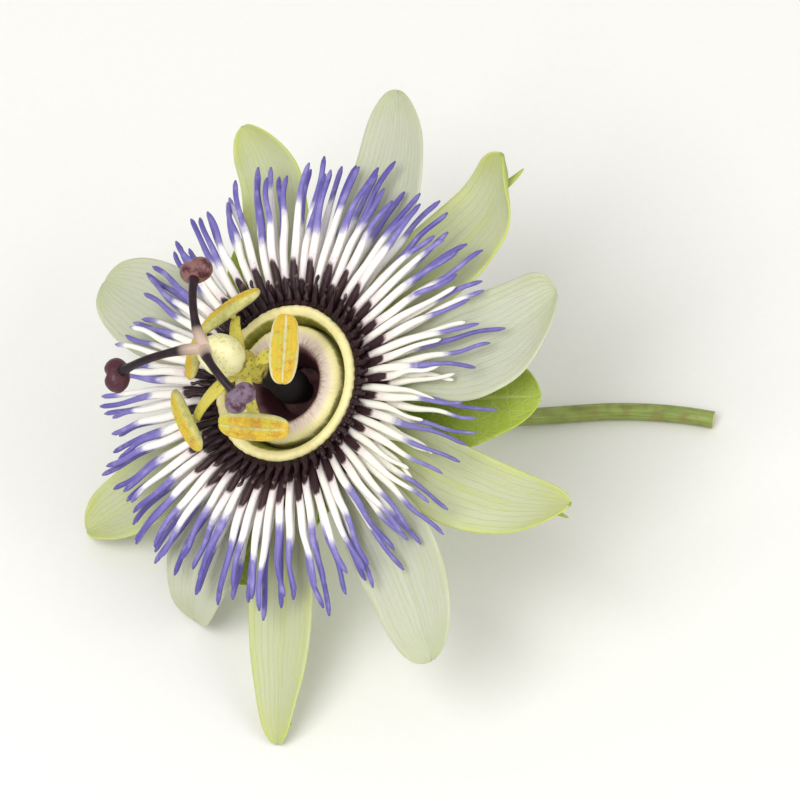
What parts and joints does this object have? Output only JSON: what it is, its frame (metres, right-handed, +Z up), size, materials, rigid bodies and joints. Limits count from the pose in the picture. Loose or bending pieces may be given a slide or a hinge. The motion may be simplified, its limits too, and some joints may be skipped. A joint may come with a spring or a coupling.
{
  "type": "passion flower",
  "caption": "Open climber's bloom lying face up: sepals and petals spread round a banded crown of fine threads, with stamens and styles raised on a column.",
  "frame": {"origin": "on the table under the middle of the whole flower's box", "axes": "+Z up from the table; +X along the end of the stalk; the bloom faces up and towards -X and -Y"},
  "size_m": [0.0832, 0.0776, 0.0471],
  "materials": {
    "stalk_green": "matt",
    "sepal_cream_green": "soft petal-like",
    "petal_white": "soft petal-like",
    "bract_green": "matt",
    "thread_blue_white": "matt",
    "thread_dark": "matt",
    "ring_cream": "matt",
    "collar_cream": "matt",
    "column_green": "matt",
    "anther_yellow": "matt",
    "style_purple": "matt"
  },
  "bodies": {
    "root": {"anther_1": "anther_yellow", "anther_2": "anther_yellow", "anther_3": "anther_yellow", "anther_4": "anther_yellow", "anther_5": "anther_yellow", "bract_1": "bract_green", "bract_2": "bract_green", "bract_3": "bract_green", "column": "column_green", "crown_outer": "thread_blue_white", "crown_second": "thread_blue_white", "crown_short": "thread_dark", "floral_cup": "stalk_green", "limen": "collar_cream", "operculum": "ring_cream", "ovary": "column_green", "petal_1": "petal_white", "petal_2": "petal_white", "petal_3": "petal_white", "petal_4": "petal_white", "petal_5": "petal_white", "sepal_1": "sepal_cream_green", "sepal_2": "sepal_cream_green", "sepal_3": "sepal_cream_green", "sepal_4": "sepal_cream_green", "sepal_5": "sepal_cream_green", "stalk": "stalk_green", "stamen_strap_1": "column_green", "stamen_strap_2": "column_green", "stamen_strap_3": "column_green", "stamen_strap_4": "column_green", "stamen_strap_5": "column_green", "style_1": "style_purple", "style_2": "style_purple", "style_3": "style_purple"}
  },
  "joints": []
}
